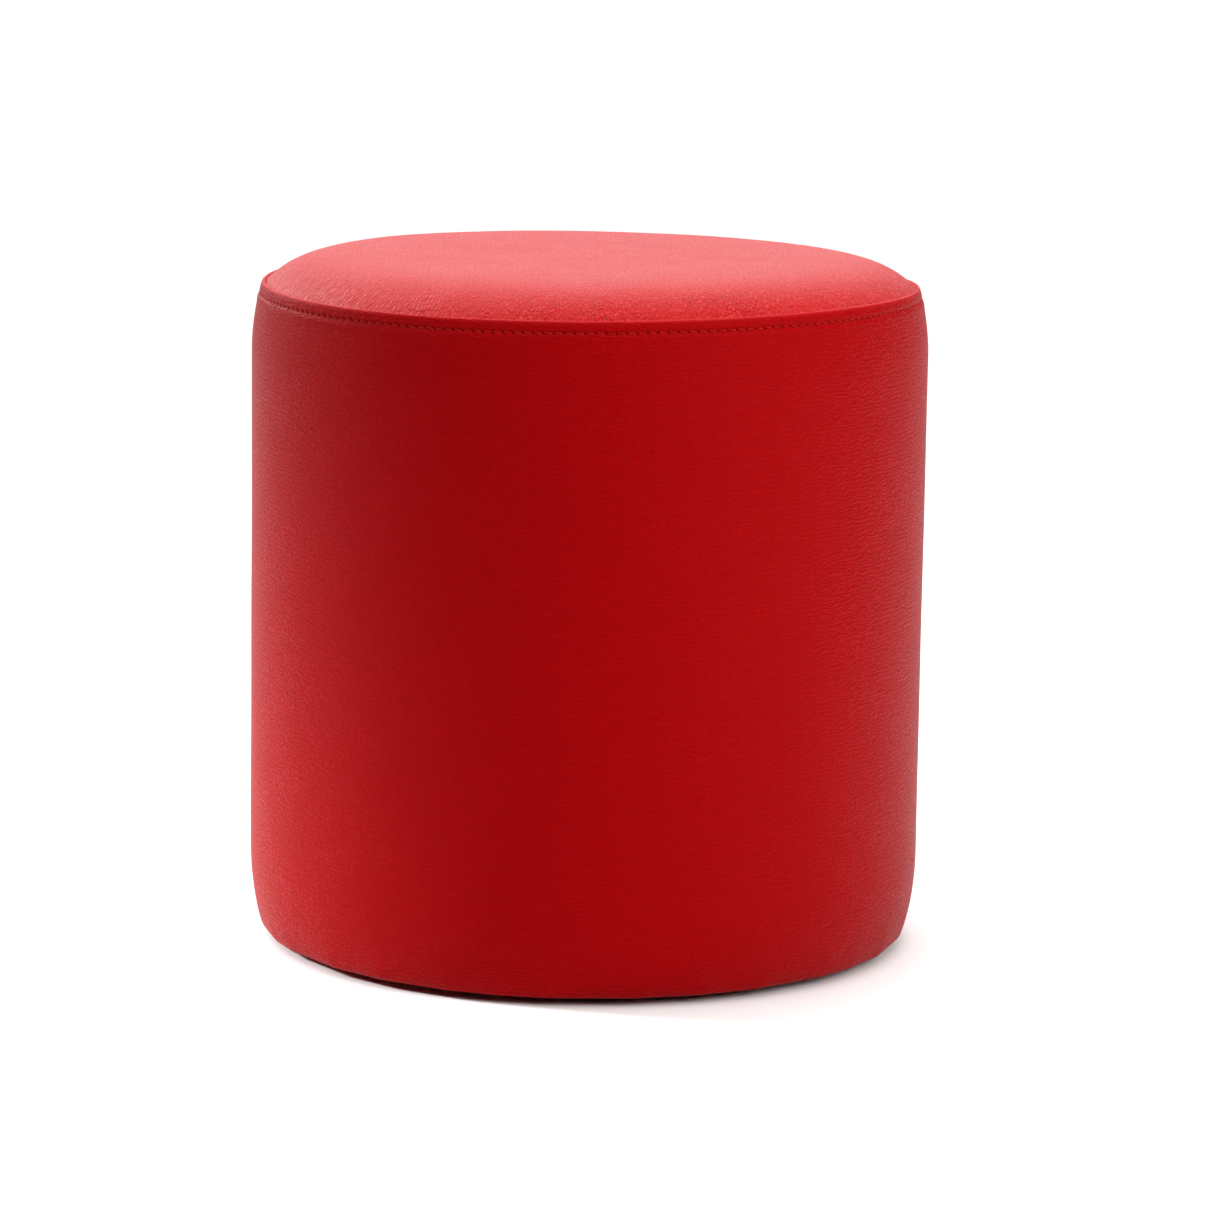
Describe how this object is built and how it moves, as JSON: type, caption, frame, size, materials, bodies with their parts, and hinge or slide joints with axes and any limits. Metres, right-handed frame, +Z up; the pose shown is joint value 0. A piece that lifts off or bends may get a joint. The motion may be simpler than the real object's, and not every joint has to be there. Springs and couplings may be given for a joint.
{
  "type": "round upholstered pouf",
  "caption": "Round padded floor pouf: a wooden drum frame with foam, under a sewn leatherette cover with a topstitched rim.",
  "frame": {"origin": "centre of the footprint on the floor", "axes": "+Z up along the drum's axis; the cover's closing seam faces +Y, at the back"},
  "size_m": [0.4, 0.4, 0.41],
  "materials": {
    "leatherette": "grained, semi-matt, with a soft sheen",
    "thread": "twisted polyester thread",
    "board_wood": "raw plywood",
    "post_timber": "sawn softwood",
    "hardboard": "smooth hardboard",
    "steel": "zinc plated",
    "foam": "open-cell foam",
    "wadding": "polyester fibre",
    "dust_cloth": "spunbonded cloth",
    "glide_plastic": "moulded, satin"
  },
  "bodies": {
    "root": {"base_board": "board_wood", "seat_board": "board_wood", "post_1": "post_timber", "post_2": "post_timber", "post_3": "post_timber", "post_4": "post_timber", "post_5": "post_timber", "post_6": "post_timber", "wall_wrap": "hardboard", "seat_screws": "steel", "base_screws": "steel", "wrap_staples_top": "steel", "wrap_staples_bottom": "steel", "seat_foam": "foam", "side_foam": "foam", "seat_wadding": "wadding", "top_panel": "leatherette", "side_panel": "leatherette", "rim_seam_thread": "thread", "topstitch_thread": "thread", "back_seam_thread": "thread", "cover_staples": "steel", "dust_cover": "dust_cloth", "dust_cover_staples": "steel", "glide_1": "glide_plastic", "glide_2": "glide_plastic", "glide_3": "glide_plastic", "glide_4": "glide_plastic", "glide_screws": "steel"}
  },
  "joints": []
}
